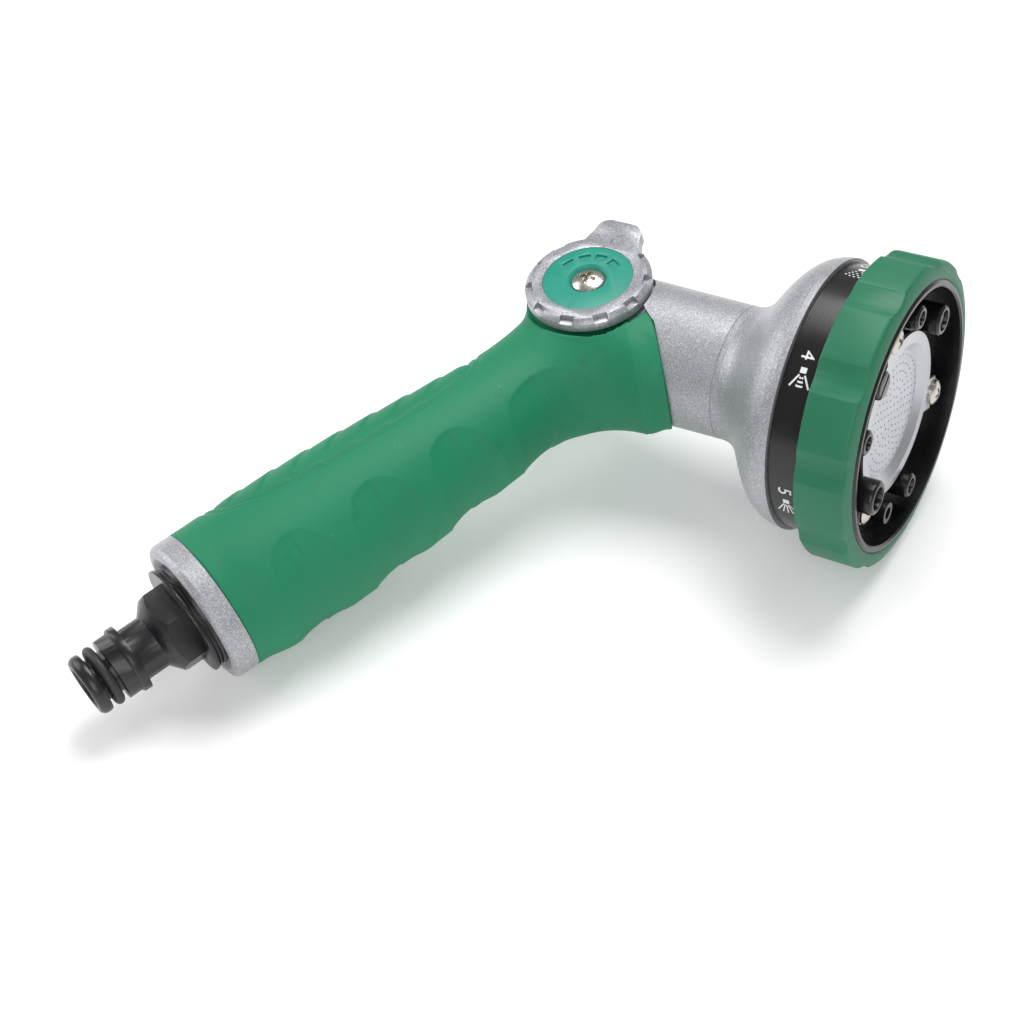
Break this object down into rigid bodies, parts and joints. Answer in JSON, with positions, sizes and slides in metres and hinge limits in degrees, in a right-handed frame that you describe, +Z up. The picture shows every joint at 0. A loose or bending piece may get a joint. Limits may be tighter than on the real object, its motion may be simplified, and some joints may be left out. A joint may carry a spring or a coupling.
{
  "type": "hose spray nozzle",
  "caption": "Thumb-control hose spray nozzle: a cast handle with a rubber grip, a flow valve in its elbow, a turning multi-pattern spray head and a click-on hose coupling.",
  "frame": {"origin": "middle of the plain land on the hose coupling nose", "axes": "lying on its side as on a bench: +Z up out of the ground, on the side of the valve knob; +X from the hose coupling towards the spray head"},
  "size_m": [0.2237, 0.101, 0.0743],
  "materials": {
    "silver_paint": "hammered silver paint on cast aluminium",
    "green_rubber": "satin soft-touch green rubber",
    "teal_plastic": "satin moulded plastic",
    "black_plastic": "semi-gloss moulded black plastic",
    "black_rubber": "matt black sealing rubber",
    "stainless": "stamped stainless steel",
    "plated_screw": "bright nickel plating",
    "brass": "turned brass"
  },
  "bodies": {
    "handle": {"body_casting": "silver_paint", "grip_sleeve": "green_rubber", "inlet_adapter": "black_plastic", "inlet_washer": "black_rubber", "inlet_filter": "stainless", "coupling_o_ring": "black_rubber", "valve_bonnet": "brass", "bell": "silver_paint", "port_plate": "black_plastic", "port_plate_screws": "plated_screw", "port_seal": "black_rubber", "port_spring": "stainless", "detent_spring": "stainless", "pivot_o_ring": "black_rubber", "pivot_washer": "stainless", "pivot_screw": "plated_screw"},
    "flow_knob": {"knob": "silver_paint", "knob_insert": "teal_plastic", "knob_screw": "plated_screw", "valve_plug": "teal_plastic", "plug_o_rings": "black_rubber", "stem_o_ring": "black_rubber"},
    "spray_turret": {"turret": "black_plastic", "turret_grip": "green_rubber", "face_plate": "black_plastic", "jet_tube": "black_plastic", "cone_nozzle": "black_plastic", "mist_nozzles": "black_plastic", "flat_nozzle": "black_plastic", "shower_plate": "stainless", "shower_screws": "plated_screw"},
    "detent": {"detent_ball": "stainless"}
  },
  "joints": [
    {"name": "knob_turn", "type": "hinge", "parent": "handle", "child": "flow_knob", "pos_m": [0.12939, 0.05913, 0.01548], "axis": [-0.1188, 0, 0.9929], "range_deg": [-45, 45]},
    {"name": "turret_turn", "type": "hinge", "parent": "handle", "child": "spray_turret", "pos_m": [0.17911, 0.01078, 0.02142], "axis": [0.7143, -0.6946, 0.0854], "continuous": true},
    {"name": "detent_click", "type": "slide", "parent": "handle", "child": "detent", "axis": [0.7143, -0.6946, 0.0854], "range_m": [0, 0.00055], "stiffness_N_per_m": 400, "springref_m": 0.001}
  ]
}
